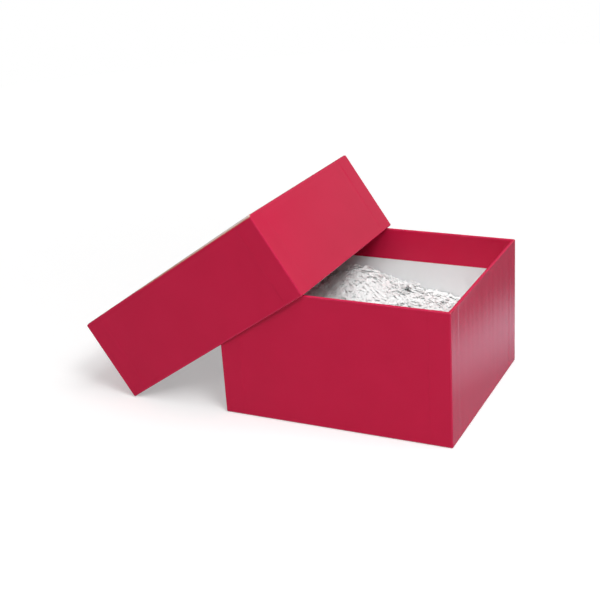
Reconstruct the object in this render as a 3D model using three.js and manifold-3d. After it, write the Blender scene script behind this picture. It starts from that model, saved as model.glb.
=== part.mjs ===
// Two-piece set-up box with a loose shred fill. All lengths are in millimetres, +Z up.
// The origin is the centre of the base's underside. The base stands on Z = 0 with its long side along X.
// The lid leans on the base: its left rim stands on Z = 0 and its right wall rests on the base's rim.

import * as THREE from "three";
import Module from "manifold-3d";
import { mergeVertices } from "three/addons/utils/BufferGeometryUtils.js";

// ---- driving dimensions ----

const BASE_WIDTH = 220; // X, outside the wrap
const BASE_DEPTH = 188; // Y, outside the wrap
const BASE_HEIGHT = 126; // Z, underside to rim
const LID_HEIGHT = 83; // rim to top
const LID_CLEARANCE = 1.5; // per side, between the closed lid and the base

const BOARD = 2; // greyboard thickness
const PAPER = 0.25; // wrap, lining and panel sheets
const STAY = 0.15; // corner stay tape
const GLUE = 0.1; // glue line between any two layers

const TURN_IN = 31.5; // depth of the wrap folded inside the rim
const TURN_UNDER = 14; // width of the wrap folded over the closed panel
const STAY_LEG = 20; // width of the stay tape on each side of a corner
const SHEET_INSET = 1.5; // margin from a tray's edge to its panel sheet
const FOLD_RADIUS = 0.5; // outer radius of the wrap at the upright corners
const FOLD_SEGMENTS = 3;

const LID_FOOT_X = -208.5; // middle of the lid's left rim, which stands on Z = 0
const LID_FOOT_Y = 3.65;
const LID_YAW = THREE.MathUtils.degToRad(-1.4);
const REST_GAP = 0.3; // between the lid's rim and the base's rim

const FILL_SIDE_GAP = 0.5; // between the fill and the wall lining
const FILL_FLOOR_GAP = 0.3;
const FILL_LEVEL = 74; // general height of the fill's top, above Z = 0
const FILL_MOUNDS = [
  { x: -38, y: 52, height: 21, reachX: 30, reachY: 32 }, // heaped up beside the lid
  { x: 92, y: 98, height: -18, reachX: 66, reachY: 50 }, // falls away to the back right corner
];
const LUMP_HEIGHT = 1.6; // small lumps all over the fill's top
const LUMP_LENGTH_X = 9.5; // lengths here are per radian of the wave
const LUMP_LENGTH_Y = 11;
const LUMP_START_Y = 0.8; // radians
const LUMP_MEANDER = 1.3; // radians by which the lumps' rows wander along Y
const LUMP_MEANDER_LENGTH = 14;
const FILL_STEPS_X = 22;
const FILL_STEPS_Y = 18;

// ---- layer offsets, measured inward from a tray's outer skin ----

const SKIN_TO_STAY = PAPER + GLUE;
const SKIN_TO_BOARD = SKIN_TO_STAY + STAY + GLUE;
const SKIN_TO_LINING = SKIN_TO_BOARD + BOARD + GLUE;
const WALL = SKIN_TO_LINING + PAPER; // whole thickness of a wall

const PANEL_TO_WRAP = PAPER + GLUE; // the panel sheet lies outside the wrap's turned edge
const PANEL_TO_BOARD = PANEL_TO_WRAP + PAPER + GLUE;
const PANEL_TO_INSIDE = PANEL_TO_BOARD + BOARD + GLUE;
const RIM_TO_BOARD = PAPER + GLUE;

const LID_WIDTH = BASE_WIDTH + 2 * (WALL + LID_CLEARANCE);
const LID_DEPTH = BASE_DEPTH + 2 * (WALL + LID_CLEARANCE);
const LID_TILT = Math.asin((BASE_HEIGHT + REST_GAP) / (LID_WIDTH - WALL));

// ---- materials ----

function paperMaterial(color, roughness) {
  return new THREE.MeshStandardMaterial({ color, roughness, metalness: 0 });
}

const MATERIALS = {
  greyboard: () => paperMaterial(0x9c9388, 0.9),
  stayTape: () => paperMaterial(0xb98f5e, 0.85),
  redWrap: () => paperMaterial(0xb2253f, 0.35),
  whiteLining: () => paperMaterial(0xd6d4d4, 0.8),
  shred: () => paperMaterial(0xececea, 0.85),
};

// ---- solids ----

const wasm = await Module();
wasm.setup();

function toManifold(geometry) {
  const bare = geometry.clone();
  bare.deleteAttribute("normal");
  bare.deleteAttribute("uv");
  const merged = mergeVertices(bare);
  const mesh = new wasm.Mesh({
    numProp: 3,
    vertProperties: Float32Array.from(merged.attributes.position.array),
    triVerts: Uint32Array.from(merged.index.array),
  });
  return new wasm.Manifold(mesh);
}

function toGeometry(manifold) {
  const mesh = manifold.getMesh();
  const geometry = new THREE.BufferGeometry();
  geometry.setAttribute("position", new THREE.BufferAttribute(mesh.vertProperties, 3));
  geometry.setIndex(new THREE.BufferAttribute(mesh.triVerts, 1));
  geometry.computeVertexNormals();
  return geometry;
}

function union(geometries) {
  return toGeometry(geometries.map(toManifold).reduce((all, next) => all.add(next)));
}

function addMesh(parent, name, geometry, material) {
  const mesh = new THREE.Mesh(geometry, material());
  mesh.name = name;
  parent.add(mesh);
  return mesh;
}

function addBox(parent, name, low, high, material) {
  const size = high.map((value, axis) => value - low[axis]);
  const mesh = addMesh(parent, name, new THREE.BoxGeometry(...size), material);
  mesh.position.set(...high.map((value, axis) => (value + low[axis]) / 2));
}

// A rectangle centred on the origin, with corners of the given radius.
function roundedRectangle(target, width, depth, radius) {
  const x = width / 2 - radius;
  const y = depth / 2 - radius;
  const quarter = Math.PI / 2;
  const corners = [[x, y], [-x, y], [-x, -y], [x, -y]];
  target.moveTo(x + radius, y);
  corners.forEach(([cx, cy], turn) => {
    if (radius > 0) {
      target.absarc(cx, cy, radius, turn * quarter, (turn + 1) * quarter, false);
    } else {
      target.lineTo(cx, cy);
    }
  });
  target.closePath();
  return target;
}

// An upright ring between an outer and an inner inset from a tray's outer skin, from one height to another.
function ring(tray, outerInset, innerInset, zLow, zHigh) {
  const radiusAt = (inset) => Math.max(FOLD_RADIUS - inset, 0);
  const outline = (target, inset) =>
    roundedRectangle(target, tray.width - 2 * inset, tray.depth - 2 * inset, radiusAt(inset));
  const shape = outline(new THREE.Shape(), outerInset);
  shape.holes.push(outline(new THREE.Path(), innerInset));
  const geometry = new THREE.ExtrudeGeometry(shape, {
    depth: zHigh - zLow,
    bevelEnabled: false,
    curveSegments: FOLD_SEGMENTS,
  });
  return geometry.translate(0, 0, zLow);
}

// ---- one tray: five boards, corner stays, wall wrap, panel sheet and linings ----

// tray = { prefix, panel, sheet, width, depth, height, flipped }. Its closed panel is at the bottom, or at
// the top when flipped. span() turns two distances from the closed panel into a low and a high Z.
function span(tray, near, far) {
  return tray.flipped ? [tray.height - far, tray.height - near] : [near, far];
}

function addBoards(group, tray) {
  const x = tray.width / 2 - SKIN_TO_BOARD;
  const y = tray.depth / 2 - SKIN_TO_BOARD;
  const [panelLow, panelHigh] = span(tray, PANEL_TO_BOARD, PANEL_TO_BOARD + BOARD);
  const [wallLow, wallHigh] = span(tray, PANEL_TO_INSIDE, tray.height - RIM_TO_BOARD);
  const board = (side, low, high) =>
    addBox(group, `${tray.prefix}_${side}_board`, low, high, MATERIALS.greyboard);
  board(tray.panel, [-x, -y, panelLow], [x, y, panelHigh]);
  board("front", [-x, -y, wallLow], [x, -y + BOARD, wallHigh]);
  board("back", [-x, y - BOARD, wallLow], [x, y, wallHigh]);
  const sideY = y - BOARD - GLUE;
  board("left", [-x, -sideY, wallLow], [-x + BOARD, sideY, wallHigh]);
  board("right", [x - BOARD, -sideY, wallLow], [x, sideY, wallHigh]);
}

// A strip of tape folded round an upright corner, outside the boards.
function stayGeometry(height) {
  const shape = new THREE.Shape();
  shape.moveTo(0, 0);
  shape.lineTo(STAY_LEG, 0);
  shape.lineTo(STAY_LEG, STAY);
  shape.lineTo(STAY, STAY);
  shape.lineTo(STAY, STAY_LEG);
  shape.lineTo(0, STAY_LEG);
  shape.closePath();
  return new THREE.ExtrudeGeometry(shape, { depth: height, bevelEnabled: false });
}

function addCornerStays(group, tray) {
  const x = tray.width / 2 - SKIN_TO_STAY;
  const y = tray.depth / 2 - SKIN_TO_STAY;
  const [low, high] = span(tray, PANEL_TO_INSIDE, tray.height - RIM_TO_BOARD);
  const corners = [
    ["front_left", -x, -y],
    ["front_right", x, -y],
    ["back_right", x, y],
    ["back_left", -x, y],
  ];
  corners.forEach(([corner, cx, cy], turn) => {
    const name = `${tray.prefix}_corner_stay_${corner}`;
    const stay = addMesh(group, name, stayGeometry(high - low), MATERIALS.stayTape);
    stay.position.set(cx, cy, low);
    stay.rotation.z = (turn * Math.PI) / 2;
  });
}

// One strip round all four walls, folded over the rim and down inside, and over the edge of the closed panel.
function addWallWrap(group, tray) {
  const rim = tray.height;
  const bands = [
    [0, PAPER, PANEL_TO_WRAP, rim],
    [0, TURN_UNDER, PANEL_TO_WRAP, PANEL_TO_WRAP + PAPER],
    [0, WALL, rim - PAPER, rim],
    [WALL - PAPER, WALL, rim - TURN_IN, rim],
  ];
  const solids = bands.map(([outer, inner, near, far]) => ring(tray, outer, inner, ...span(tray, near, far)));
  addMesh(group, `${tray.prefix}_wall_wrap`, union(solids), MATERIALS.redWrap);
}

function addPanelSheet(group, tray) {
  const x = tray.width / 2 - SHEET_INSET;
  const y = tray.depth / 2 - SHEET_INSET;
  const [low, high] = span(tray, 0, PAPER);
  addBox(group, `${tray.prefix}_${tray.sheet}_sheet`, [-x, -y, low], [x, y, high], MATERIALS.redWrap);
}

function addLinings(group, tray) {
  const wallEnds = span(tray, PANEL_TO_INSIDE, tray.height - TURN_IN - GLUE);
  const wallLining = ring(tray, WALL - PAPER, WALL, ...wallEnds);
  addMesh(group, `${tray.prefix}_wall_lining`, wallLining, MATERIALS.whiteLining);
  const x = tray.width / 2 - WALL - GLUE;
  const y = tray.depth / 2 - WALL - GLUE;
  const [low, high] = span(tray, PANEL_TO_INSIDE, PANEL_TO_INSIDE + PAPER);
  addBox(group, `${tray.prefix}_${tray.panel}_lining`, [-x, -y, low], [x, y, high], MATERIALS.whiteLining);
}

function makeTray(tray) {
  const group = new THREE.Group();
  addBoards(group, tray);
  addCornerStays(group, tray);
  addWallWrap(group, tray);
  addPanelSheet(group, tray);
  addLinings(group, tray);
  return group;
}

// ---- loose shredded-paper fill, as one lumpy heap ----

function moundHeight(mound, x, y) {
  const spread = ((x - mound.x) / mound.reachX) ** 2 + ((y - mound.y) / mound.reachY) ** 2;
  return mound.height * Math.exp(-spread);
}

function lumpHeight(x, y) {
  const meander = LUMP_MEANDER * Math.sin(y / LUMP_MEANDER_LENGTH);
  return LUMP_HEIGHT * Math.sin(x / LUMP_LENGTH_X + meander) * Math.cos(y / LUMP_LENGTH_Y + LUMP_START_Y);
}

function fillHeight(x, y) {
  return FILL_MOUNDS.reduce((z, mound) => z + moundHeight(mound, x, y), FILL_LEVEL + lumpHeight(x, y));
}

function addFill(group) {
  const width = BASE_WIDTH - 2 * (WALL + FILL_SIDE_GAP);
  const depth = BASE_DEPTH - 2 * (WALL + FILL_SIDE_GAP);
  const floor = PANEL_TO_INSIDE + PAPER + FILL_FLOOR_GAP;
  const geometry = new THREE.BoxGeometry(width, depth, 1, FILL_STEPS_X, FILL_STEPS_Y, 1);
  const position = geometry.attributes.position;
  for (let i = 0; i < position.count; i += 1) {
    const isTop = position.getZ(i) > 0;
    position.setZ(i, isTop ? fillHeight(position.getX(i), position.getY(i)) : floor);
  }
  addMesh(group, "shredded_paper_fill", geometry, MATERIALS.shred);
}

// ---- assembly ----

const box = new THREE.Group();

const base = makeTray({
  prefix: "base",
  panel: "floor",
  sheet: "bottom",
  width: BASE_WIDTH,
  depth: BASE_DEPTH,
  height: BASE_HEIGHT,
  flipped: false,
});
addFill(base);
box.add(base);

const lid = makeTray({
  prefix: "lid",
  panel: "top",
  sheet: "top",
  width: LID_WIDTH,
  depth: LID_DEPTH,
  height: LID_HEIGHT,
  flipped: true,
});
lid.position.x = LID_WIDTH / 2;

// The pivot is the middle of the lid's left rim: it tilts there about Y, then yaws about Z.
const leaningLid = new THREE.Group();
leaningLid.rotation.set(0, -LID_TILT, LID_YAW, "ZYX");
leaningLid.position.set(LID_FOOT_X, LID_FOOT_Y, 0);
leaningLid.add(lid);
box.add(leaningLid);

export default box;
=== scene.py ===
"""A two-piece rigid storage box with a shredded-paper fill: its looks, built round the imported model.

Lengths are in metres and +Z is up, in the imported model's frame. Each box half is a tray: five boards
with corner stays, a wall wrap, a panel sheet and linings. The base stands on the floor, and the lid
leans on its rim.
"""

import math

import bpy
import numpy as np
from mathutils import Matrix, Vector, noise
from mathutils.bvhtree import BVHTree


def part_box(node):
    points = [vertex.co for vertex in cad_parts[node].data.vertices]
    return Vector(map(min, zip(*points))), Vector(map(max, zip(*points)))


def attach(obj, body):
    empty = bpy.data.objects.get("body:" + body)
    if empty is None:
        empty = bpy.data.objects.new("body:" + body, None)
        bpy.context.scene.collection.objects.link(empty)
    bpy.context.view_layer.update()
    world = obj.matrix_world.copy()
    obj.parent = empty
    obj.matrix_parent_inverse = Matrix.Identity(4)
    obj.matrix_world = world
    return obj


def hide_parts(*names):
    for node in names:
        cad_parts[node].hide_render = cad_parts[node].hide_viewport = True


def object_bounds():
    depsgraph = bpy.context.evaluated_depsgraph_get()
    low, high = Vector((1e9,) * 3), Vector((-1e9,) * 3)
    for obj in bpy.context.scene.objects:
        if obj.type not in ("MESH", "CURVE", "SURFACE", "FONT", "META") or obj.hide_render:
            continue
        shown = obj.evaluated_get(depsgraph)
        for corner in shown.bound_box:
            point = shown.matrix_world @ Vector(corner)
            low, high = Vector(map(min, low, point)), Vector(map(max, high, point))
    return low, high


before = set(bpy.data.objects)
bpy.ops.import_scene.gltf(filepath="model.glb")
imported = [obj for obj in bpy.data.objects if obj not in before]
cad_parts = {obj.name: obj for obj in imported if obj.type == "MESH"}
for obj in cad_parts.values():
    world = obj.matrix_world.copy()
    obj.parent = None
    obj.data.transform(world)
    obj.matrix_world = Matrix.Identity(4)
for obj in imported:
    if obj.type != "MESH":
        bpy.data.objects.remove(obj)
cad_low, cad_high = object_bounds()

MM = 0.001

# ---- driving dimensions: meshes ----

FOLD_STEPS = 5  # flat faces round a quarter of a fold
STATION_ENDS = (0.35 * MM, 1.1 * MM, 2.6 * MM)  # how far the crowded stations lie from an edge
STATION_GAP = 0.02 * MM  # stations closer than this are one
STEP_SHARES = (-0.5, -0.3, -0.1, 0.1, 0.3, 0.5)  # stations across a step, as shares of its width
SHARP_ANGLE = 38  # degrees
STRIP_SHARP_ANGLE = 60
WALL_STEP_ALONG = 1.8 * MM  # mesh spacing along a wall
WALL_STEP_UP = 7 * MM
TURNED_EDGE_STEP = 3 * MM  # mesh spacing on the wrap's edge under the closed panel
INSIDE_STEP = 5 * MM  # and on the wrap's edge inside the rim
SHEET_STEP = 4 * MM  # mesh spacing on the linings
STAY_STEP_UP = 5 * MM
STAY_STEP_ALONG = 3 * MM

# ---- driving dimensions: the trays ----

UPRIGHT_FOLD = 1.0 * MM  # outer radius of the wrap at a tray's upright corners
LEVEL_FOLD = 1.2 * MM  # outer radius of the wrap round the rim and round the closed panel's edge
INNER_FOLD = 0.3 * MM  # radius of the paper in the corners inside a tray
CORNER_SLACK = 1.01  # counts the stations where an upright fold ends as part of it
RIM_STRESS_AND_HIGHLIGHT = 0.2  # how much of the folds' lighter tone the flat rim shows, partly a painted highlight on its up-facing top

STAY_LEG = 20 * MM  # how far the stay tape reaches from an upright corner
STAY_STEP = 0.12 * MM  # how far the wrap sinks beyond the tape
STAY_SLOPE = 1.4 * MM  # width of that step
STAY_RAGGED = 0.25 * MM  # unevenness of the tape's cut edges
STAY_RAGGED_LENGTH = 6 * MM

SEAM_FROM_CORNER = 12 * MM  # where the wall wrap's end overlaps its start
SEAM_STEP = 0.2 * MM
SEAM_EDGE = 0.04 * MM  # half of the width over which the wrap steps down at the seam
SEAM_RELIEF = 26 * MM  # width over which the wrap rises again beside the seam

WAVE_DEPTH = 0.10 * MM  # broad unevenness of a wall
WAVE_LENGTH = 55 * MM
WAVE_SHIFT = 7.3  # moves each side to noise of its own
STREAK_DEPTH = 0.13 * MM  # upright ripples from the board's grain
STREAK_LENGTH = 6 * MM
STREAK_HEIGHT = 170 * MM
STREAK_SHIFT = 11.9
STREAK_MARGIN = 4 * MM  # the ripples fade over this distance from an upright corner
FOLD_MARGIN = 5 * MM  # and all unevenness over this distance from a level fold

SHEET_SINK = 0.28 * MM  # how far a panel sheet sinks inside the wrap's turned edge
SHEET_SLOPE = 2.4 * MM
SHEET_WAVE = 0.5 * WAVE_DEPTH
LINING_WAVE = 0.04 * MM
SHEET_SIDE, LINING_SIDE = 4, 5  # the panel's sheet and lining, counted on from a tray's four sides
BOARD_EDGE = 0.36 * MM  # how far the boards' edges are worn off under the folds
BOARD_WELD = 0.01 * MM

# Pale marks, each along a line between two of a tray's corners, each corner as its signs in local x and y
# and 1 at the rim or 0 at the closed panel, and how far the mark reaches from the line at either end. The
# base has pale
# spots at three corners. The lid's first line is a tan strip along its top edge, thickest at the near
# corner:
# a painted reflection. Its second is a pale spot at that corner.
BASE_PALE_SPOTS = [
    ((1, -1, 1), (1, -1, 1), 1.1 * MM, 1.1 * MM),
    ((1, 1, 1), (1, 1, 1), 1.0 * MM, 1.0 * MM),
    ((1, -1, 0), (1, -1, 0), 0.8 * MM, 0.8 * MM),
]
LID_SPOT_AND_PAINTED_REFLECTION = [
    ((1, 1, 0), (-1, 1, 0), 2.2 * MM, 0.2 * MM),
    ((1, 1, 0), (1, 1, 0), 2.2 * MM, 2.2 * MM),
]
MARK_END = 1.5  # distance from a mark's line where the mark ends, in reaches
BASE_SEED, LID_SEED = 3.1, 8.7
BASE_SEAM_SIDE, LID_SEAM_SIDE = 2, 0  # both at the back, because the lid is turned over

# ---- driving dimensions: the fill ----

SHRED_COUNT = 3250
SHRED_SECTIONS = 7
SHRED_LENGTH = (9 * MM, 24 * MM)
SHRED_TORN = 0.6  # strips keep between this share and all of their length
SHRED_WIDTH = (1.8 * MM, 3.6 * MM)
SHRED_THICKNESS = 0.12 * MM
SHRED_RISE = 0.14  # spread of a strip's slope along itself, and of its tilt
SHRED_TILT = 0.3
SHRED_BEND, SHRED_CURL = 30, 90  # spread of the bend of loose and of curled strips, in radians a metre
SHRED_CURLED_SHARE = 0.3
SHRED_UNEVEN = 0.5  # how much the bend changes from section to section
SHRED_TWIST = 38  # in radians a metre
SHRED_KINK = 0.75  # in radians
SHRED_KINKED_SHARE = 0.5
SHRED_DEPTHS = (-0.5 * MM, 1.1 * MM)  # how deep the strips' middles lie
SHRED_PROUD = 0.9 * MM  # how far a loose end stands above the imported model's fill
TUFTS = [  # loose clusters: middle in x and y, spread, strips, and how high they stand
    ((-31 * MM, 62 * MM), 8.0 * MM, 34, 6 * MM),
    ((15 * MM, 70 * MM), 5.0 * MM, 24, 14 * MM),
    ((50 * MM, 62 * MM), 4.0 * MM, 14, 6 * MM),
]
SHRED_SEED = 11
FILL_MARGIN = 0.4 * MM  # between a shred and the lining
FILL_SAMPLES = 61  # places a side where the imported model's fill is measured
CORE_CRUMPLE = 0.6 * MM
CORE_CRUMPLE_LENGTH = 6 * MM
CORE_STEP = 3.2 * MM
CORE_DEPTH = 1.1 * MM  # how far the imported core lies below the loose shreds' top
CORE_TONE = 0.5

# ---- driving dimensions: colours and surfaces ----

RED = (0.605, 0.0105, 0.059, 1)
RED_DEEP = (0.59, 0.0098, 0.056, 1)
# Lighter red on the folds and the rim: partly the laminate's stress whitening, partly a painted highlight
# where folds catch the light.
RED_STRESSED_AND_HIGHLIGHT = (0.68, 0.035, 0.11, 1)
STRESS_AND_HIGHLIGHT_SHARE = 0.4  # how much of the lighter red a fold shows: stressed laminate, and partly a painted highlight along the fold
# Paper colours at the cut edges, where the core is bare, and at the pale marks: tan, and white in the
# marks' middles. The tan strip along the lid's top edge is a painted reflection.
CORE_TAN_AND_REFLECTION = (0.58, 0.40, 0.27, 1)
MARK_WHITE = (0.92, 0.74, 0.76, 1)
CUT_EDGE_SHARE = 0.5  # how worn a cut edge looks
LAMINATE_ROUGHNESS = (0.19, 0.22)
LAMINATE_IOR = 1.25
LAMINATE_BUMP = 0.004 * MM
CORE_ROUGHNESS = 0.85
LINING_DIM = (0.84, 0.855, 0.86, 1)
LINING_BRIGHT = (0.89, 0.905, 0.91, 1)
LINING_ROUGHNESS = (0.66, 0.8)
PAPER_IOR = 1.4
PAPER_BUMP = 0.03 * MM
BOARD_DARK = (0.27, 0.24, 0.21, 1)
BOARD_LIGHT = (0.40, 0.37, 0.33, 1)
BOARD_FIBRE = (0.52, 0.50, 0.46, 1)
BOARD_FLECK = (0.10, 0.09, 0.09, 1)
BOARD_ROUGHNESS = 0.92
BOARD_BUMP = 0.06 * MM
TAPE_DARK = (0.40, 0.24, 0.11, 1)
TAPE_LIGHT = (0.60, 0.40, 0.21, 1)
TAPE_PATCH = (0.46, 0.29, 0.14, 1)
TAPE_ROUGHNESS = (0.55, 0.72)
SHRED_DIM = (0.91, 0.935, 0.93, 1)
SHRED_BRIGHT = (0.94, 0.96, 0.955, 1)
SHRED_FIBRE = (0.88, 0.90, 0.89, 1)
SHRED_ROUGHNESS = (0.62, 0.8)

# ---- driving dimensions: studio and camera ----

WHITE = (1, 1, 1, 1)
TENT = (0.0, 0.165, 0.4)  # brightness near the horizon, half-way up and overhead
TENT_LOW = (0.2, 0.35)  # where the first turns into the second, as the sine of the height
TENT_HIGH = (0.65, 0.85)
LIGHTS = [  # name, power, size, place
    ("key_softbox", 9.7, (0.5, 0.5), (0.77, -0.7, 1.24)),
    ("top_softbox", 13.2, (1.0, 1.0), (0.55, -0.15, 1.7)),
    ("front_left_softbox", 3.9, (0.8, 0.6), (-0.3, -1.5, 0.9)),
    ("back_softbox", 1.2, (1.2, 0.8), (0, 1.3, 1.3)),
    ("back_right_softbox", 1.1, (0.8, 0.5), (0.9, 1.45, 0.55)),
]
STAGE_SIDES = 96
FLOOR_REACH = 1.7
FLOOR_LEVEL = -0.05 * MM
FLOOR_TONES = (0.74, 0.74 * 0.98)
FLOOR_CLOUD = 600 * MM
FLOOR_ROUGHNESS = 0.9
FILM_GLOW = (0.38, 0.8)  # what the film over the floor adds near the middle and near the floor's edge
FILM_FADE = (0.3, 1.5)  # and the distances between which it grows
BACKDROP_REACH = 12.0
TABLE_COLOUR = (0.88, 1.0, 1.18, 1)
TABLE_FAR = 0.25  # brightness of the mirrored table away from the box, close to it and in the band between
TABLE_CLOSE = 0.55
TABLE_BAND = 1.12
BAND_LEAN = 0.32  # how fast the band's edges turn towards the box as they run back
BAND_NEAR = (0.135, 0.185)
BAND_FAR = (0.208, 0.262)

CAMERA_AZIMUTH = 26.773  # degrees
CAMERA_ELEVATION = 21.901
CAMERA_ROLL = -3.879
CAMERA_DISTANCE = 1.16453
CAMERA_TARGET = Vector((-0.07366, 0, 0.07942))
CAMERA_SENSOR = 36
CAMERA_LENS = 73.13
CAMERA_CLIP = (0.05, 60)

# ---- small mesh helpers ----


def smooth(value, start, end):
    """0 at start, 1 at end, with an even ease between them."""
    t = min(max((value - start) / (end - start), 0), 1)
    return t * t * (3 - 2 * t)


def graded(start, end, step):
    """Stations from start to end, close together near both ends and about a step apart between them."""
    sign = 1 if end > start else -1
    length = abs(end - start)
    near = [0.0] + [d for d in STATION_ENDS if d < length / 2.5]
    count = max(2, round((length - 2 * near[-1]) / step) + 1)
    middle = np.linspace(near[-1], length - near[-1], count)
    stations = near[:-1] + list(middle) + [length - d for d in reversed(near[:-1])]
    return [start + sign * s for s in stations]


def grid_faces(rows, columns, wrap_rows, wrap_columns):
    """Quads of a grid of rows by columns, closed on itself along either way."""
    r = np.arange(rows if wrap_rows else rows - 1)[:, None] * columns
    c = np.arange(columns if wrap_columns else columns - 1)
    next_r, next_c = (r + columns) % (rows * columns), (c + 1) % columns
    return np.stack([r + c, r + next_c, next_r + next_c, next_r + c], -1).reshape(-1, 4)


def grid_rim(rows, columns):
    """The points round the outside of a grid of rows by columns, in order."""
    last_row, last_column = rows - 1, columns - 1
    rim = list(range(last_column))
    rim += [r * columns + last_column for r in range(last_row)]
    rim += [last_row * columns + c for c in range(last_column, 0, -1)]
    return rim + [r * columns for r in range(last_row, 0, -1)]


def block_faces(rows, columns):
    """Quads of a closed block: a lower grid, an upper grid with its points in the same order, and the
    sides between."""
    count = rows * columns
    lower = grid_faces(rows, columns, False, False)
    rim = grid_rim(rows, columns)
    sides = [(a, b, b + count, a + count) for a, b in zip(rim, rim[1:] + rim[:1])]
    return np.vstack([lower[:, ::-1], lower + count, sides])


def signed_volume(points, quads):
    a, b, c, d = (points[quads[:, corner]] for corner in range(4))
    return ((a * np.cross(b, c)).sum() + (a * np.cross(c, d)).sum()) / 6


def make_piece(name, body, material, vertices, faces, nodes, attributes=None, sharp=SHARP_ANGLE):
    """A closed mesh of quads that rides on a body and stands for the named CAD nodes."""
    vertices, faces = np.asarray(vertices), np.asarray(faces)
    if signed_volume(vertices, faces) < 0:
        faces = faces[:, ::-1]
    mesh = bpy.data.meshes.new(name)
    mesh.from_pydata(vertices.tolist(), [], faces.tolist())
    for key, values in (attributes or {}).items():
        mesh.attributes.new(key, "FLOAT", "POINT").data.foreach_set("value", np.asarray(values, np.float32))
    mesh.polygons.foreach_set("use_smooth", [True] * len(mesh.polygons))
    mesh.set_sharp_from_angle(angle=math.radians(sharp))
    mesh.materials.append(material)
    obj = bpy.data.objects.new(name, mesh)
    bpy.context.scene.collection.objects.link(obj)
    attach(obj, body)
    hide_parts(*nodes)
    return obj


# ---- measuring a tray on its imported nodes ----


def node_points(node):
    return np.array([v.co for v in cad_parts[node].data.vertices], float)


def board_axes(node):
    """A board's three edge directions, longest edge first."""
    points = node_points(node)
    axes = []
    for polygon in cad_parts[node].data.polygons:
        normal = np.array(polygon.normal, float)
        if all(abs(normal @ axis) < 0.5 for axis in axes):
            axes.append(normal)
    return sorted(axes, key=lambda axis: -np.ptp(points @ axis))


class Tray:
    """One box half. Local x runs along its longer side, towards world +X, and local z from the outer face
    of its closed panel to its rim. Insets are measured inward from the outer skin of its walls."""

    def __init__(self, name, panel, sheet, seam_side):
        self.name = name
        self.panel = panel
        self.sheet = sheet
        self.seam_side = seam_side
        board = node_points(f"{name}_{panel}_board")
        wrap = node_points(f"{name}_wall_wrap")
        long_edge, _, thin_edge = board_axes(f"{name}_{panel}_board")
        z = thin_edge * np.sign((wrap.mean(0) - board.mean(0)) @ thin_edge)
        x = long_edge * np.sign(long_edge[0])
        self.axes = np.array([x, np.cross(z, x), z])
        centre = (wrap @ self.axes.T).min(0) / 2 + (wrap @ self.axes.T).max(0) / 2
        centre[2] = (node_points(f"{name}_{sheet}_sheet") @ z).min()
        self.origin = centre @ self.axes
        self.measure()

    def local(self, part):
        return (node_points(f"{self.name}_{part}") - self.origin) @ self.axes.T

    def world(self, points):
        return self.origin + np.asarray(points) @ self.axes

    def measure(self):
        wrap = self.local("wall_wrap")
        lining = self.local("wall_lining")
        sheet = self.local(f"{self.sheet}_sheet")
        panel_lining = self.local(f"{self.panel}_lining")
        stay = self.local("corner_stay_front_left")
        self.width, self.depth = np.ptp(wrap[:, 0]), np.ptp(wrap[:, 1])
        self.height = wrap[:, 2].max()
        self.wrap_low = wrap[:, 2].min()
        self.paper = np.ptp(sheet[:, 2])
        self.sheet_half = np.abs(sheet[:, :2]).max(0)
        self.turn_under = self.width / 2 - np.abs(wrap[:, 0]).min()
        self.wall = self.width / 2 - np.abs(lining[:, 0]).min()
        turned_in = np.abs(wrap[:, 0]) < self.width / 2 - self.wall + self.paper / 2
        above_panel = wrap[:, 2] > self.wrap_low + 2 * self.paper
        self.turn_in_end = wrap[turned_in & above_panel, 2].min()
        self.lining_low, self.lining_high = lining[:, 2].min(), lining[:, 2].max()
        self.panel_lining_half = np.abs(panel_lining[:, :2]).max(0)
        self.panel_lining_low = panel_lining[:, 2].min()
        self.stay_low, self.stay_high = stay[:, 2].min(), stay[:, 2].max()
        self.stay_inset = self.width / 2 - np.abs(stay[:, 0]).max()
        self.stay_thickness = self.measure_stay(stay)

    def measure_stay(self, stay):
        """Thickness of the tape, between the two layers of points farthest from the tray's middle."""
        distances = np.unique(np.abs(stay[:, 0]).round(6))
        return distances[-1] - distances[-2]


# ---- sweeping a profile round a tray ----

# The four sides in order: the direction along the side and its outward normal, in local x and y.
SIDES = [((1, 0), (0, -1)), ((0, 1), (1, 0)), ((-1, 0), (0, 1)), ((0, -1), (-1, 0))]


def side_lengths(tray, side):
    """Half of the side's length, and how far the side stands from the tray's middle."""
    half_x, half_y = tray.width / 2, tray.depth / 2
    return (half_x, half_y) if side % 2 == 0 else (half_y, half_x)


def side_stations(tray, side, step, with_details):
    """Places along one side's flat part, as distances from its middle."""
    half, _ = side_lengths(tray, side)
    flat = half - UPRIGHT_FOLD
    stations = graded(-flat, flat, step)
    if with_details:
        for edge in (-(half - STAY_LEG), half - STAY_LEG):
            stations += [edge + STAY_SLOPE * share for share in STEP_SHARES]
        if side == tray.seam_side:
            seam = half - SEAM_FROM_CORNER
            stations += [seam - SEAM_EDGE, seam + SEAM_EDGE]
    stations = sorted(stations)
    kept = [s for s, after in zip(stations, stations[1:]) if after - s > STATION_GAP]
    return kept + [stations[-1]]


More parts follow.
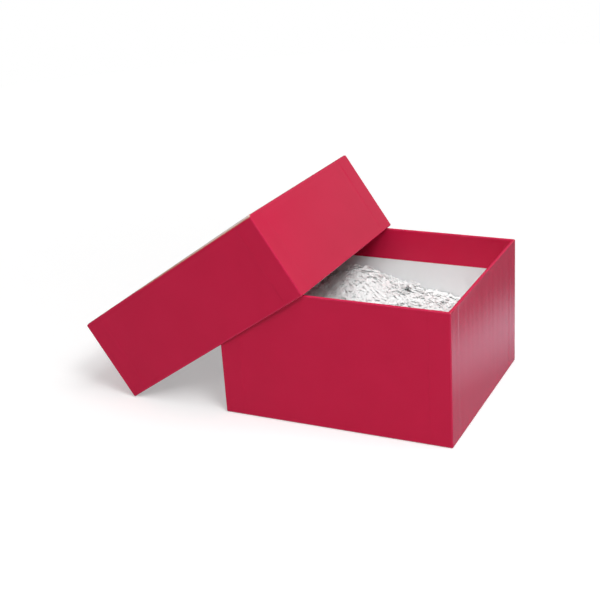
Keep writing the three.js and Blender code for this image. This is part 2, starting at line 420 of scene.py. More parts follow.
def sweep(tray, rows, step, with_details=False, sink=None):
    """Sweeps a closed profile round the tray. A row is (inset, z, corner radius, sink weight).
    sink(side, along, z) gives the inward displacement at weight 1. Returns local vertices and faces, with
    each column's side and place."""
    stations = [side_stations(tray, side, step, with_details) for side in range(4)]
    vertices = []
    columns = []
    for inset, z, radius, weight in rows:
        loop = []
        for side, (along, outward) in enumerate(SIDES):
            along, outward = np.array(along, float), np.array(outward, float)
            half, away = side_lengths(tray, side)
            fit = (half - inset - radius) / (half - UPRIGHT_FOLD)
            for place in stations[side]:
                depth = inset
                if sink and weight:
                    depth += weight * sink(side, place, z)
                loop.append((along * place * fit + outward * (away - depth), side, place))
            centre = along * (half - inset - radius) + outward * (away - inset - radius)
            for turn in range(1, FOLD_STEPS):
                angle = math.pi / 2 * turn / FOLD_STEPS
                arc = radius * (outward * math.cos(angle) + along * math.sin(angle))
                loop.append((centre + arc, side, half))
        vertices += [(p[0], p[1], z) for p, _, _ in loop]
        columns = [(side, place) for _, side, place in loop]
    return np.array(vertices), grid_faces(len(rows), len(columns), True, True), columns


def arc_rows(centre_inset, centre_z, radius, start, end):
    """Rows round a fold, from one direction to another, in degrees: 0 is outward, 90 towards the rim."""
    rows = []
    for turn in range(FOLD_STEPS + 1):
        angle = math.radians(start + (end - start) * turn / FOLD_STEPS)
        out, up = math.cos(angle), math.sin(angle)
        rows.append((centre_inset - radius * out, centre_z + radius * up, out, up))
    return rows


# ---- the wall wrap ----


def wrap_skin(tray):
    """The wrap's outer face as rows of (inset, z, outward, up, region), from its turned edge on the closed
    panel, up the wall, over the rim and down inside. Outward and up are the face's normal."""
    fold = LEVEL_FOLD
    low, rim, wall = tray.wrap_low, tray.height, tray.wall
    turned_edge = graded(tray.turn_under, fold, TURNED_EDGE_STEP)[:-1]
    rows = [(inset, low, 0, -1, "under") for inset in turned_edge]
    rows += [(*row, "fold") for row in arc_rows(fold, low + fold, fold, -90, 0)]
    rows += [(0, z, 1, 0, "wall") for z in graded(low + fold, rim - fold, WALL_STEP_UP)[1:-1]]
    rows += [(*row, "fold") for row in arc_rows(fold, rim - fold, fold, 0, 90)]
    rows += [(wall / 2, rim, 0, 1, "rim")]
    rows += [(*row, "fold") for row in arc_rows(wall - fold, rim - fold, fold, 90, 180)]
    rows += [(wall, z, -1, 0, "inside") for z in graded(rim - fold, tray.turn_in_end, INSIDE_STEP)[1:]]
    return rows


def corner_radius(tray, inset, region):
    """Plan radius of the skin's corner. It tightens from the outer corner to the paper's inner edges."""
    reach = tray.turn_under if region == "under" else tray.wall
    return UPRIGHT_FOLD + (INNER_FOLD - UPRIGHT_FOLD) * min(inset / reach, 1)


def wave(side, along, z, seed):
    """Broad unevenness, from 0 to 1."""
    place = Vector((along / WAVE_LENGTH, z / WAVE_LENGTH, seed + WAVE_SHIFT * side))
    return 0.5 + 0.5 * noise.noise(place)


def streak(side, along, z, seed):
    """Upright ripples, from 0 to 1."""
    place = Vector((along / STREAK_LENGTH, z / STREAK_HEIGHT, seed + STREAK_SHIFT * side))
    return 0.5 + 0.5 * noise.noise(place)


def wall_sink(tray, seed):
    """How far the wrap lies inside the tray's skin at a place on a wall."""

    def sink(side, along, z):
        half, _ = side_lengths(tray, side)
        from_corner = half - abs(along)
        from_fold = min(z - tray.wrap_low, tray.height - z)
        beyond_tape = smooth(from_corner, STAY_LEG - STAY_SLOPE / 2, STAY_LEG + STAY_SLOPE / 2)
        depth = STAY_STEP * beyond_tape
        depth += WAVE_DEPTH * wave(side, along, z, seed) * smooth(from_corner, 0, STAY_LEG)
        depth += STREAK_DEPTH * streak(side, along, z, seed) * smooth(from_corner, 0, STREAK_MARGIN)
        if side == tray.seam_side:
            before_seam = half - SEAM_FROM_CORNER - along
            if before_seam > 0:
                depth = max(depth, SEAM_STEP * (1 - smooth(before_seam, 0, SEAM_RELIEF)))
            else:
                depth = 0
        return depth * smooth(from_fold, 0, FOLD_MARGIN)

    return sink


def make_paper(tray, part, material, vertices, faces, attributes=None):
    """The visible paper of one of a tray's packed papers."""
    node = f"{tray.name}_{part}"
    world = tray.world(vertices)
    make_piece(f"{node}_paper", tray.name, material, world, faces, [node], attributes)


def build_wall_wrap(tray, material, mark_lines, seed):
    skin = wrap_skin(tray)
    rows = []
    for inset, z, out, up, region in skin:
        rows.append((inset, z, corner_radius(tray, inset, region), 1 if region == "wall" else 0))
    for inset, z, out, up, region in reversed(skin):
        radius = corner_radius(tray, inset, region) - tray.paper * out
        rows.append((inset + tray.paper * out, z - tray.paper * up, radius, 1 if region == "wall" else 0))
    vertices, faces, columns = sweep(tray, rows, WALL_STEP_ALONG, True, wall_sink(tray, seed))
    regions = [row[4] for row in skin] + [row[4] for row in reversed(skin)]
    count = len(columns)
    # The fold tone: stressed laminate on the folds, and partly a painted highlight there and on the rim.
    fold = np.array([[fold_share(tray, region, column) for column in columns] for region in regions])
    cut = np.zeros((len(rows), count))
    for row in (0, len(skin) - 1, len(skin), len(rows) - 1):
        cut[row] = 1
    wear = mark_amount(tray, vertices, mark_lines)
    looks = {"fold": fold.ravel(), "cut": cut.ravel(), "wear": wear}
    make_paper(tray, "wall_wrap", material, vertices, faces, looks)


def fold_share(tray, region, column):
    """1 where the laminate is bent over a fold, 0 on a flat face."""
    side, place = column
    half, _ = side_lengths(tray, side)
    on_upright = region in ("wall", "fold") and half - abs(place) < UPRIGHT_FOLD * CORNER_SLACK
    if region == "rim":
        return RIM_STRESS_AND_HIGHLIGHT
    return 1.0 if on_upright or region == "fold" else 0.0


def mark_amount(tray, vertices, mark_lines):
    """How strongly each vertex shows a pale mark, from 0 to 1. The lid's strip along its top edge is a
    painted reflection; the others are pale spots at corners.
    """
    half = np.array([tray.width / 2, tray.depth / 2])
    worn = np.zeros(len(vertices))
    for start, end, start_reach, end_reach in mark_lines:
        a, b = (np.array([*(half * corner[:2]), tray.height * corner[2]]) for corner in (start, end))
        length_squared = max((b - a) @ (b - a), MM**2)
        along = np.clip((vertices - a) @ (b - a) / length_squared, 0, 1)
        distance = np.linalg.norm(vertices - a - along[:, None] * (b - a), axis=1)
        reach = start_reach + (end_reach - start_reach) * along
        worn = np.maximum(worn, np.clip(MARK_END - distance / reach, 0, 1))
    return worn


# ---- sheets, linings and stays ----


def slab(half, low, thickness, step, lift):
    """A thin rectangular sheet between z = low and low + thickness, as a closed grid. lift(x, y) raises
    both faces."""
    xs, ys = graded(-half[0], half[0], step), graded(-half[1], half[1], step)
    rise = np.array([[lift(x, y) for x in xs] for y in ys])
    grid_x, grid_y = np.meshgrid(xs, ys)
    bottom = np.stack([grid_x, grid_y, low + rise], -1).reshape(-1, 3)
    top = bottom + (0, 0, thickness)
    count = len(bottom)
    edge = np.zeros(count)
    edge[grid_rim(len(ys), len(xs))] = 1
    return np.vstack([bottom, top]), block_faces(len(ys), len(xs)), np.concatenate([edge, edge])


def build_panel_sheet(tray, material, mark_lines, seed):
    """The sheet over the closed panel. It sinks inside the wrap's turned edge."""

    def lift(x, y):
        from_turned_edge = min(tray.width / 2 - abs(x), tray.depth / 2 - abs(y)) - tray.turn_under
        sunk = SHEET_SINK * smooth(from_turned_edge, -SHEET_SLOPE / 2, SHEET_SLOPE / 2)
        return sunk + SHEET_WAVE * wave(SHEET_SIDE, x, y, seed) * smooth(from_turned_edge, 0, STAY_LEG)

    vertices, faces, edge = slab(tray.sheet_half, 0, tray.paper, SHEET_STEP / 2, lift)
    wear = mark_amount(tray, vertices, mark_lines)
    looks = {"fold": np.zeros(len(vertices)), "cut": edge, "wear": wear}
    make_paper(tray, f"{tray.sheet}_sheet", material, vertices, faces, looks)


def build_linings(tray, material, seed):
    """The white papers inside: one strip round the walls and one sheet on the panel."""

    def ripple(side, along, z):
        return LINING_WAVE * wave(side, along, z, seed)

    def lift(x, y):
        return LINING_WAVE * wave(LINING_SIDE, x, y, seed)

    heights = graded(tray.lining_low, tray.lining_high, SHEET_STEP)
    inner = [(tray.wall, z, INNER_FOLD, -1) for z in heights]
    outer = [(tray.wall - tray.paper, z, INNER_FOLD + tray.paper, -1) for z in reversed(heights)]
    vertices, faces, _ = sweep(tray, inner + outer, SHEET_STEP, False, ripple)
    make_paper(tray, "wall_lining", material, vertices, faces)
    half, low = tray.panel_lining_half, tray.panel_lining_low
    vertices, faces, _ = slab(half, low, tray.paper, SHEET_STEP, lift)
    make_paper(tray, f"{tray.panel}_lining", material, vertices, faces)


def stay_section(tray, legs, stretch):
    """The tape's closed section round an upright corner, as insets in x and y. stretch lengthens its two
    legs."""
    outer = UPRIGHT_FOLD - tray.stay_inset
    section = []
    for radius, order in ((outer, 1), (outer - tray.stay_thickness, -1)):
        face = UPRIGHT_FOLD - radius
        line = [(UPRIGHT_FOLD + (leg - UPRIGHT_FOLD) * stretch[0], face) for leg in legs[::-1]]
        for turn in range(1, FOLD_STEPS):
            angle = math.pi / 2 * turn / FOLD_STEPS
            line.append((UPRIGHT_FOLD - radius * math.sin(angle), UPRIGHT_FOLD - radius * math.cos(angle)))
        line += [(face, UPRIGHT_FOLD + (leg - UPRIGHT_FOLD) * stretch[1]) for leg in legs]
        section += line[::order]
    return section


def stay_faces(loops, count):
    """Quads of loops of count points, with both ends closed across the section's thin way."""
    faces = grid_faces(loops, count, False, True).tolist()
    for first in (0, (loops - 1) * count):
        for i in range(count // 2 - 1):
            quad = (first + i, first + i + 1, first + count - 2 - i, first + count - 1 - i)
            faces.append(quad if first else quad[::-1])
    return faces


def build_stay(tray, corner, node, material, seed):
    """Gummed tape folded round an upright corner of the boards, under the wrap. corner is its signs in x
    and y."""
    heights = graded(tray.stay_low, tray.stay_high, STAY_STEP_UP)
    legs = graded(UPRIGHT_FOLD, STAY_LEG, STAY_STEP_ALONG)
    points = []
    for z in heights:
        stretch = []
        for edge in (0, 5):
            ragged = STAY_RAGGED * noise.noise(Vector((z / STAY_RAGGED_LENGTH, seed, edge)))
            stretch.append((STAY_LEG - STAY_RAGGED + ragged - UPRIGHT_FOLD) / (STAY_LEG - UPRIGHT_FOLD))
        section = stay_section(tray, legs, stretch)
        for x, y in section:
            points.append((corner[0] * (tray.width / 2 - x), corner[1] * (tray.depth / 2 - y), z))
    faces = stay_faces(len(heights), len(section))
    make_piece(f"{node}_tape", tray.name, material, tray.world(points), faces, [node])


def build_stays(tray, material):
    """Stays are named in the world's sense, and a flipped tray's local y points to the front."""
    back = np.sign(tray.axes[1][1])
    for column, name in ((-1, "left"), (1, "right")):
        for row, side in ((-1, "front"), (1, "back")):
            node = f"{tray.name}_corner_stay_{side}_{name}"
            build_stay(tray, (column, row * back), node, material, column + 3 * row)


def finish_boards(tray, material):
    """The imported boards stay, with their cut edges very slightly worn round."""
    for part in (tray.panel, "front", "back", "left", "right"):
        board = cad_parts[f"{tray.name}_{part}_board"]
        weld = board.modifiers.new("weld", "WELD")
        weld.merge_threshold = BOARD_WELD
        bevel = board.modifiers.new("worn_edges", "BEVEL")
        bevel.width = BOARD_EDGE
        bevel.segments = 2
        board.data.materials.clear()
        board.data.materials.append(material)


# ---- the fill ----


def height_grid(node, half):
    """Heights of a node's top over a grid, and the grid's coordinates."""
    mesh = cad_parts[node].data
    tree = BVHTree.FromPolygons([v.co for v in mesh.vertices], [tuple(p.vertices) for p in mesh.polygons])
    xs, ys = (np.linspace(-reach, reach, FILL_SAMPLES) for reach in half)
    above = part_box(node)[1].z + 10 * MM
    down = Vector((0, 0, -1))
    heights = [[tree.ray_cast(Vector((x, y, above)), down)[0].z for x in xs] for y in ys]
    return xs, ys, np.array(heights)


def sample(grid, x, y):
    """Heights between a grid's points, by bilinear interpolation."""
    xs, ys, heights = grid
    u = np.clip((x - xs[0]) / (xs[1] - xs[0]), 0, len(xs) - 1.001)
    v = np.clip((y - ys[0]) / (ys[1] - ys[0]), 0, len(ys) - 1.001)
    i, j = u.astype(int), v.astype(int)
    fu, fv = u - i, v - j
    low = heights[j, i] * (1 - fu) + heights[j, i + 1] * fu
    high = heights[j + 1, i] * (1 - fu) + heights[j + 1, i + 1] * fu
    return low * (1 - fv) + high * fv


def turn_about(vectors, axes, angles):
    """Rotates each vector about its own unit axis."""
    cos, sin = np.cos(angles)[:, None], np.sin(angles)[:, None]
    along = (vectors * axes).sum(1, keepdims=True)
    return vectors * cos + np.cross(axes, vectors) * sin + axes * along * (1 - cos)


def shred_sections(rng, count):
    """Centres, width directions and flat normals of curled paper strips, one strip a row."""
    length = rng.uniform(*SHRED_LENGTH, count) * rng.uniform(SHRED_TORN, 1, count)
    step = length / (SHRED_SECTIONS - 1)
    yaw = rng.uniform(0, 2 * math.pi, count)
    tangent = np.stack([np.cos(yaw), np.sin(yaw), rng.normal(0, SHRED_RISE, count)], 1)
    tangent /= np.linalg.norm(tangent, axis=1, keepdims=True)
    tilt_x = rng.normal(0, SHRED_TILT, count)
    tilt_y = rng.normal(0, SHRED_TILT, count)
    normal = np.stack([tilt_x, tilt_y, np.ones(count)], 1)
    width = np.cross(normal, tangent)
    width /= np.linalg.norm(width, axis=1, keepdims=True)
    normal = np.cross(tangent, width)
    curled = rng.random(count) < SHRED_CURLED_SHARE
    bend = rng.normal(0, 1, count) * np.where(curled, SHRED_CURL, SHRED_BEND)
    twist = rng.normal(0, SHRED_TWIST, count)
    kink_at = rng.integers(1, SHRED_SECTIONS - 1, count)
    kink = rng.normal(0, SHRED_KINK, count) * (rng.random(count) < SHRED_KINKED_SHARE)
    centre = np.zeros((count, 3))
    centres, widths, normals = [], [], []
    for section in range(SHRED_SECTIONS):
        centres.append(centre.copy())
        widths.append(width.copy())
        normals.append(normal.copy())
        angle = bend * step * (1 + SHRED_UNEVEN * rng.normal(0, 1, count))
        angle += np.where(kink_at == section, kink, 0)
        tangent, normal = turn_about(tangent, width, angle), turn_about(normal, width, angle)
        width, normal = turn_about(width, tangent, twist * step), turn_about(normal, tangent, twist * step)
        centre = centre + tangent * step[:, None]
    centres = np.stack(centres, 1)
    centres -= centres.mean(1, keepdims=True)
    return centres, np.stack(widths, 1), np.stack(normals, 1)


def shred_places(rng, half):
    """Each strip's place in x and y, how deep it lies, and how far it may stand above the fill."""
    place = rng.uniform(-1, 1, (SHRED_COUNT, 2)) * half
    depth = rng.uniform(*SHRED_DEPTHS, SHRED_COUNT)
    proud = np.full(SHRED_COUNT, SHRED_PROUD)
    first = 0
    for middle, spread, strips, stand in TUFTS:
        tuft = slice(first, first + strips)
        place[tuft] = np.array(middle) + rng.normal(0, spread, (strips, 2))
        share = np.exp(-(((place[tuft] - middle) / spread) ** 2).sum(1) / 2)
        depth[tuft] = -rng.uniform(0, 1, strips) * stand * share
        proud[tuft] = stand
        first += strips
    return place, depth, proud


def shred_points(rng, half):
    """Four corners for each section of each strip, and each strip's depth and proudness. Heights are
    still measured from the strip's own middle."""
    centres, widths, normals = shred_sections(rng, SHRED_COUNT)
    place, depth, proud = shred_places(rng, half)
    centres[..., :2] += place[:, None]
    strip_half = rng.uniform(*SHRED_WIDTH, SHRED_COUNT)[:, None, None] / 2
    corners = []
    for across, through in ((-1, -1), (1, -1), (1, 1), (-1, 1)):
        corners.append(centres + widths * across * strip_half + normals * through * SHRED_THICKNESS / 2)
    return np.stack(corners, 2), depth, proud


def keep_inside(points, half):
    """Moves whole strips in from the walls, and trims what still reaches past them."""
    for axis in (0, 1):
        reach = points[..., axis].reshape(len(points), -1)
        over = np.maximum(reach.max(1) - half[axis], 0) - np.maximum(-half[axis] - reach.min(1), 0)
        points[..., axis] -= over[:, None, None]
    points[..., :2] = np.clip(points[..., :2], -half, half)


def lay_on_fill(points, grid, low, depth, proud):
    """Sets the strips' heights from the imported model's fill. Loose ends rise less and less above it."""
    ground = sample(grid, points[..., 0], points[..., 1])
    points[..., 2] += ground - depth[:, None, None]
    above = points[..., 2] - ground
    limit = proud[:, None, None]
    points[..., 2] = ground + np.where(above > 0, limit * np.tanh(above / limit), above)
    points[..., 2] = np.maximum(points[..., 2], low)


def shred_faces():
    """Quads of all the strips, each one a closed tube of four sides."""
    strip = grid_faces(SHRED_SECTIONS, 4, False, True)
    last = (SHRED_SECTIONS - 1) * 4
    strip = np.vstack([strip, [(3, 2, 1, 0), (last, last + 1, last + 2, last + 3)]])
    return (strip + np.arange(SHRED_COUNT)[:, None, None] * SHRED_SECTIONS * 4).reshape(-1, 4)


def packed_core(grid, low, half):
    """The tightly packed lower part of the fill, as one crumpled closed block under the loose strips."""
    xs, ys = graded(-half[0], half[0], CORE_STEP), graded(-half[1], half[1], CORE_STEP)
    grid_x, grid_y = np.meshgrid(xs, ys)
    top = sample(grid, grid_x, grid_y) - CORE_DEPTH
    for j, y in enumerate(ys):
        for i, x in enumerate(xs):
            top[j, i] += CORE_CRUMPLE * noise.noise(Vector((x, y, 0)) / CORE_CRUMPLE_LENGTH)
    upper = np.stack([grid_x, grid_y, top], -1).reshape(-1, 3)
    lower = upper.copy()
    lower[:, 2] = low
    return np.vstack([lower, upper]), block_faces(len(ys), len(xs))


def build_fill(material):
    """Loose strips over a packed core, as one piece with a tone for each strip."""
    node = "shredded_paper_fill"
    low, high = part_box(node)
    half = np.array([high.x - FILL_MARGIN / 2, high.y - FILL_MARGIN / 2])
    grid = height_grid(node, half)
    rng = np.random.default_rng(SHRED_SEED)
    points, depth, proud = shred_points(rng, half)
    keep_inside(points, half)
    lay_on_fill(points, grid, low.z, depth, proud)
    tone = np.repeat(rng.random(SHRED_COUNT), SHRED_SECTIONS * 4)
    core, core_faces = packed_core(grid, low.z, half)
    vertices = np.vstack([points.reshape(-1, 3), core])
    faces = np.vstack([shred_faces(), core_faces + len(tone)])
    looks = {"tone": np.concatenate([tone, np.full(len(core), CORE_TONE)])}
    name, sharp = "shredded_paper_strips", STRIP_SHARP_ANGLE
    make_piece(name, "base", material, vertices, faces, [node], looks, sharp)


# ---- materials ----


def add_node(tree, kind, inputs=None, **settings):
    """A node with its settings, and its inputs linked to sockets or set to values."""
    made = tree.nodes.new(kind)
    for key, value in settings.items():
        setattr(made, key, value)
    for key, value in (inputs or {}).items():
        if isinstance(value, bpy.types.NodeSocket):
            tree.links.new(value, made.inputs[key])
        else:
            made.inputs[key].default_value = value
    return made


def mix_colours(tree, share, first, second):
    return add_node(tree, "ShaderNodeMix", {0: share, 6: first, 7: second}, data_type="RGBA").outputs[2]


def calculate(tree, operation, first, second, third=0.0):
    return add_node(tree, "ShaderNodeMath", {0: first, 1: second, 2: third}, operation=operation).outputs[0]


def remap(tree, value, low, high, to_low, to_high):
    inputs = {0: value, 1: low, 2: high, 3: to_low, 4: to_high}
    return add_node(tree, "ShaderNodeMapRange", inputs, clamp=True).outputs[0]


def noise_value(tree, coordinates, length, detail=3.0, roughness=0.55):
    """Noise from 0 to 1 with features about a length across."""
    inputs = {"Vector": coordinates, "Scale": 1 / length, "Detail": detail, "Roughness": roughness}
    return add_node(tree, "ShaderNodeTexNoise", inputs).outputs[0]


def object_place(tree):
    return add_node(tree, "ShaderNodeTexCoord").outputs["Object"]


def start_material(name):
    material = bpy.data.materials.new(name)
    material.use_nodes = True
    tree = material.node_tree
    tree.nodes.clear()
    shader = add_node(tree, "ShaderNodeBsdfPrincipled")
    add_node(tree, "ShaderNodeOutputMaterial", {0: shader.outputs[0]})
    return material, tree, shader, object_place(tree)


def attribute(tree, name):
    return add_node(tree, "ShaderNodeAttribute", attribute_name=name).outputs["Fac"]


def stretched(tree, coordinates, scale):
    return add_node(tree, "ShaderNodeMapping", {"Vector": coordinates, "Scale": scale}).outputs[0]


def set_bump(tree, shader, height, distance, strength):
    inputs = {"Height": height, "Distance": distance, "Strength": strength}
    tree.links.new(add_node(tree, "ShaderNodeBump", inputs).outputs[0], shader.inputs["Normal"])


def set_roughness(tree, shader, value, low, high, roughness):
    """The roughness follows a value between low and high."""
    tree.links.new(remap(tree, value, low, high, *roughness), shader.inputs["Roughness"])


def red_wrap_material():
    """Satin laminated paper: small tone shifts, a lighter red on the folds that is partly stressed laminate
    and partly a painted highlight, and pale paper colour at the cut edges and at pale marks. The tan strip
    along the lid's top edge is a painted reflection."""
    material, tree, shader, coordinates = start_material("red_laminated_paper")
    cloud = noise_value(tree, coordinates, 45 * MM, detail=2)
    fibre = noise_value(tree, coordinates, 0.5 * MM, detail=4, roughness=0.65)
    grain = noise_value(tree, coordinates, 2.2 * MM, detail=2)
    mark_breakup = noise_value(tree, coordinates, 1.3 * MM, detail=5, roughness=0.7)
    colour = mix_colours(tree, remap(tree, cloud, 0.35, 0.65, 0, 1), RED, RED_DEEP)
    # Lighter red on folds and the rim: stressed laminate, and partly a painted highlight.
    stress_and_highlight = calculate(tree, "MULTIPLY", attribute(tree, "fold"), STRESS_AND_HIGHLIGHT_SHARE)
    colour = mix_colours(tree, stress_and_highlight, colour, RED_STRESSED_AND_HIGHLIGHT)
    # Pale marks: spots at the corners, and on the lid a tan strip along its top edge that is a painted
    # reflection. Cut edges show the bare paper core.
    wear = attribute(tree, "wear")
    marked = remap(tree, calculate(tree, "ADD", wear, mark_breakup), 1.02, 1.14, 0, 1)
    core = mix_colours(tree, remap(tree, wear, 0.9, 1.0, 0, 1), CORE_TAN_AND_REFLECTION, MARK_WHITE)
    cut = calculate(tree, "MULTIPLY", attribute(tree, "cut"), CUT_EDGE_SHARE)
    worn = calculate(tree, "MAXIMUM", marked, cut)
    tree.links.new(mix_colours(tree, worn, colour, core), shader.inputs["Base Color"])
    gloss = remap(tree, grain, 0.3, 0.7, *LAMINATE_ROUGHNESS)
    roughness = add_node(tree, "ShaderNodeMix", {0: worn, 2: gloss, 3: CORE_ROUGHNESS}, data_type="FLOAT")
    tree.links.new(roughness.outputs[0], shader.inputs["Roughness"])
    shader.inputs["IOR"].default_value = LAMINATE_IOR
    height = calculate(tree, "MULTIPLY_ADD", fibre, 0.5, grain)
    height = calculate(tree, "SUBTRACT", height, calculate(tree, "MULTIPLY", worn, 1.5))
    set_bump(tree, shader, height, LAMINATE_BUMP, 0.5)
    return material


def white_lining_material():
    """Uncoated white lining paper with a faint fibre mottle."""
    material, tree, shader, coordinates = start_material("white_lining_paper")
    mottle = noise_value(tree, coordinates, 6 * MM)
    upright = stretched(tree, coordinates, (1, 1, 0.35))
    fibre = noise_value(tree, upright, 0.45 * MM, detail=5, roughness=0.7)
    share = calculate(tree, "MULTIPLY_ADD", mottle, 0.5, calculate(tree, "MULTIPLY", fibre, 0.5))
    tree.links.new(mix_colours(tree, share, LINING_DIM, LINING_BRIGHT), shader.inputs["Base Color"])
    set_roughness(tree, shader, fibre, 0.3, 0.7, LINING_ROUGHNESS)
    shader.inputs["IOR"].default_value = PAPER_IOR
    set_bump(tree, shader, fibre, PAPER_BUMP, 0.6)
    return material


def greyboard_material():
    """Recycled greyboard: grey-brown pulp with long fibres and dark and light flecks."""
    material, tree, shader, coordinates = start_material("greyboard_pulp")
    pulp = noise_value(tree, coordinates, 3 * MM, detail=4, roughness=0.6)
    along = stretched(tree, coordinates, (0.3, 1, 1))
    fibre = noise_value(tree, along, 0.6 * MM, detail=5, roughness=0.7)
    colour = mix_colours(tree, pulp, BOARD_DARK, BOARD_LIGHT)
    colour = mix_colours(tree, remap(tree, fibre, 0.58, 0.7, 0, 0.7), colour, BOARD_FIBRE)
    flecks = noise_value(tree, coordinates, 0.9 * MM, detail=2, roughness=0.5)
    colour = mix_colours(tree, remap(tree, flecks, 0.66, 0.7, 0, 0.8), colour, BOARD_FLECK)
    tree.links.new(colour, shader.inputs["Base Color"])
    shader.inputs["Roughness"].default_value = BOARD_ROUGHNESS
    set_bump(tree, shader, fibre, BOARD_BUMP, 0.8)
    return material


def stay_tape_material():
    """Gummed kraft tape: tan, with fibres along it and a slight sheen."""
    material, tree, shader, coordinates = start_material("kraft_stay_tape")
    upright = stretched(tree, coordinates, (1, 1, 0.25))
    fibre = noise_value(tree, upright, 0.5 * MM, detail=5, roughness=0.7)
    patch = noise_value(tree, coordinates, 8 * MM)
    colour = mix_colours(tree, fibre, TAPE_DARK, TAPE_LIGHT)
    colour = mix_colours(tree, remap(tree, patch, 0.4, 0.7, 0, 0.4), colour, TAPE_PATCH)
    tree.links.new(colour, shader.inputs["Base Color"])
    set_roughness(tree, shader, patch, 0.3, 0.7, TAPE_ROUGHNESS)
    set_bump(tree, shader, fibre, PAPER_BUMP, 0.6)
    return material


def shred_material():
    """White shredded office paper, each strip in its own tone."""
    material, tree, shader, coordinates = start_material("white_shredded_paper")
    fibre = noise_value(tree, coordinates, 0.5 * MM, detail=4, roughness=0.65)
    colour = mix_colours(tree, attribute(tree, "tone"), SHRED_DIM, SHRED_BRIGHT)
    colour = mix_colours(tree, remap(tree, fibre, 0.35, 0.75, 0, 0.15), colour, SHRED_FIBRE)
    tree.links.new(colour, shader.inputs["Base Color"])
    set_roughness(tree, shader, fibre, 0.3, 0.7, SHRED_ROUGHNESS)
    shader.inputs["IOR"].default_value = PAPER_IOR
    set_bump(tree, shader, fibre, PAPER_BUMP, 0.5)
    return material


# ---- studio ----


def glow_material(name, colour, strength_of=None):
    """Plain emission, of strength 1 or of the socket that strength_of(tree) gives."""
    material = bpy.data.materials.new(name)
    material.use_nodes = True
    tree = material.node_tree
    tree.nodes.clear()
    strength = strength_of(tree) if strength_of else 1.0
    glow = add_node(tree, "ShaderNodeEmission", {"Color": colour, "Strength": strength})
    add_node(tree, "ShaderNodeOutputMaterial", {"Surface": glow.outputs[0]})
    return material


def ring_points(radius, level):
    angles = [2 * math.pi * side / STAGE_SIDES for side in range(STAGE_SIDES)]
    return [(radius * math.cos(angle), radius * math.sin(angle), level) for angle in angles]


def make_stage_mesh(name, vertices, faces, material):
    mesh = bpy.data.meshes.new(name)
    mesh.from_pydata(vertices, [], faces)
    mesh.materials.append(material)
    obj = bpy.data.objects.new(name, mesh)
    bpy.context.scene.collection.objects.link(obj)
    return obj


def make_disc(name, level, material):
    """A round stage surface as wide as the floor."""
    return make_stage_mesh(name, ring_points(FLOOR_REACH, level), [tuple(range(STAGE_SIDES))], material)


def show_only_to(obj, seen_by):
    for ray in ("camera", "diffuse", "glossy", "transmission", "volume_scatter", "shadow"):
        setattr(obj, f"visible_{ray}", ray == seen_by)


def make_floor():
    """A pale floor. Glossy rays don't see it, and see the mirrored table instead."""
    material, tree, shader, coordinates = start_material("pale_floor")
    cloud = noise_value(tree, coordinates, FLOOR_CLOUD, detail=2)
    white, dim = ((tone, tone, tone, 1) for tone in FLOOR_TONES)
    tree.links.new(mix_colours(tree, cloud, white, dim), shader.inputs["Base Color"])
    shader.inputs["Roughness"].default_value = FLOOR_ROUGHNESS
    make_disc("studio_floor", FLOOR_LEVEL, material).visible_glossy = False


def table_strength(tree):
    """Brightness of the table as satin faces mirror it: a soft bright band beside the box on a dim
    ground."""
    place = add_node(tree, "ShaderNodeSeparateXYZ", {0: object_place(tree)})
    across = calculate(tree, "MULTIPLY_ADD", place.outputs[1], BAND_LEAN, place.outputs[0])
    close = remap(tree, across, *BAND_NEAR, TABLE_CLOSE, TABLE_BAND)
    beyond = remap(tree, across, *BAND_FAR, 1, TABLE_FAR / TABLE_BAND)
    return calculate(tree, "MULTIPLY", close, beyond)


def make_mirrored_table():
    """The table that the box's satin faces mirror. Only glossy rays see it."""
    material = glow_material("mirrored_table", TABLE_COLOUR, table_strength)
    show_only_to(make_disc("studio_reflector", 2 * FLOOR_LEVEL, material), "glossy")


def film_strength(tree):
    away = add_node(tree, "ShaderNodeVectorMath", {0: object_place(tree)}, operation="LENGTH")
    return remap(tree, away.outputs["Value"], *FILM_FADE, *FILM_GLOW)


def make_film():
    """A clear glowing film over the floor, which lifts it to the backdrop's white. Only the camera sees
    it, so it lights nothing."""
    material = glow_material("white_film", WHITE, film_strength)
    tree = material.node_tree
    clear = add_node(tree, "ShaderNodeBsdfTransparent").outputs[0]
    both = add_node(tree, "ShaderNodeAddShader", {0: clear, 1: tree.nodes["Emission"].outputs[0]})
    tree.links.new(both.outputs[0], tree.nodes["Material Output"].inputs["Surface"])
    show_only_to(make_disc("studio_film", FLOOR_LEVEL / 2, material), "camera")


def make_backdrop():
    """White ground beyond the floor and a round white wall round it. Only the camera sees them."""
    rings = ((FLOOR_REACH, FLOOR_LEVEL), (BACKDROP_REACH, FLOOR_LEVEL), (BACKDROP_REACH, BACKDROP_REACH))
    vertices = [point for radius, level in rings for point in ring_points(radius, level)]
    faces = grid_faces(len(rings), STAGE_SIDES, False, True).tolist()
    material = glow_material("backdrop", WHITE)
    show_only_to(make_stage_mesh("studio_backdrop", vertices, faces, material), "camera")


def make_light(name, power, size, place, aim):
    """A rectangular softbox at a place, facing a point."""
    light = bpy.data.lights.new(name, "AREA")
    light.shape = "RECTANGLE"
    light.size, light.size_y = size
    light.energy = power
    lamp = bpy.data.objects.new(name, light)
    lamp.location = place
    lamp.rotation_mode = "QUATERNION"
    lamp.rotation_quaternion = (Vector(aim) - Vector(place)).to_track_quat("-Z", "Y")
    bpy.context.scene.collection.objects.link(lamp)


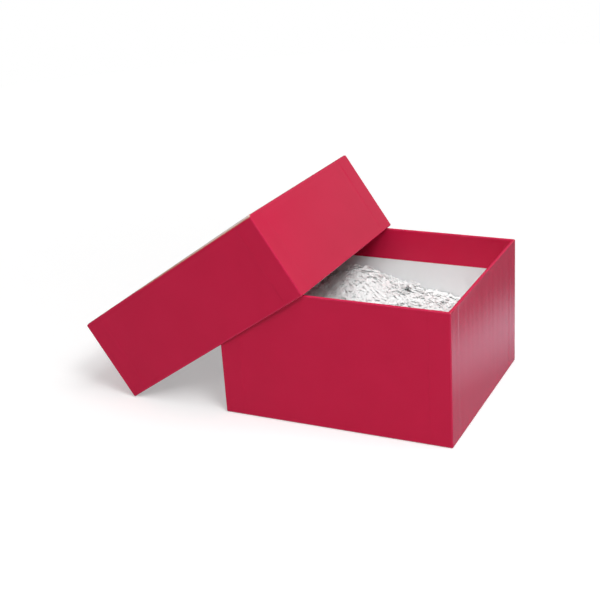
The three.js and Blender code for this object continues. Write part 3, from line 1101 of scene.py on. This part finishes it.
def make_world(horizon, middle, zenith):
    """A plain white tent: its brightness near the horizon, half-way up and overhead."""
    world = bpy.data.worlds.new("studio_tent")
    world.use_nodes = True
    tree = world.node_tree
    outward = add_node(tree, "ShaderNodeTexCoord").outputs["Generated"]
    up = add_node(tree, "ShaderNodeSeparateXYZ", {0: outward}).outputs[2]
    low = remap(tree, up, *TENT_LOW, horizon, middle)
    high = remap(tree, up, *TENT_HIGH, 0, zenith - middle)
    background = tree.nodes["Background"]
    background.inputs["Color"].default_value = WHITE
    tree.links.new(calculate(tree, "ADD", low, high), background.inputs["Strength"])
    bpy.context.scene.world = world


def make_camera():
    azimuth, elevation = math.radians(CAMERA_AZIMUTH), math.radians(CAMERA_ELEVATION)
    roll = math.radians(CAMERA_ROLL)
    level = math.cos(elevation)
    back = Vector((math.sin(azimuth) * level, -math.cos(azimuth) * level, math.sin(elevation)))
    right = Vector((math.cos(azimuth), math.sin(azimuth), 0))
    up = back.cross(right)
    rolled_right = right * math.cos(roll) + up * math.sin(roll)
    rolled_up = up * math.cos(roll) - right * math.sin(roll)
    camera = bpy.data.objects.new("camera", bpy.data.cameras.new("camera"))
    camera.data.sensor_width = CAMERA_SENSOR
    camera.data.lens = CAMERA_LENS
    camera.data.clip_start, camera.data.clip_end = CAMERA_CLIP
    turn = Matrix((rolled_right, rolled_up, back)).transposed().to_4x4()
    camera.matrix_world = Matrix.Translation(CAMERA_TARGET + back * CAMERA_DISTANCE) @ turn
    bpy.context.scene.collection.objects.link(camera)
    bpy.context.scene.camera = camera


# ---- putting it together ----

make_camera()
make_floor()
make_mirrored_table()
make_film()
make_backdrop()
make_world(*TENT)
centre = (cad_low + cad_high) / 2
for light in LIGHTS:
    make_light(*light, centre)
bpy.context.scene.view_settings.view_transform = "Standard"

base = Tray("base", "floor", "bottom", BASE_SEAM_SIDE)
lid = Tray("lid", "top", "top", LID_SEAM_SIDE)

red = red_wrap_material()
white = white_lining_material()
grey = greyboard_material()
kraft = stay_tape_material()
shredded = shred_material()

for tray, mark_lines, seed in ((base, BASE_PALE_SPOTS, BASE_SEED), (lid, LID_SPOT_AND_PAINTED_REFLECTION, LID_SEED)):
    build_wall_wrap(tray, red, mark_lines, seed)
    build_panel_sheet(tray, red, mark_lines, seed)
    build_linings(tray, white, seed)
    build_stays(tray, kraft)
    finish_boards(tray, grey)
build_fill(shredded)
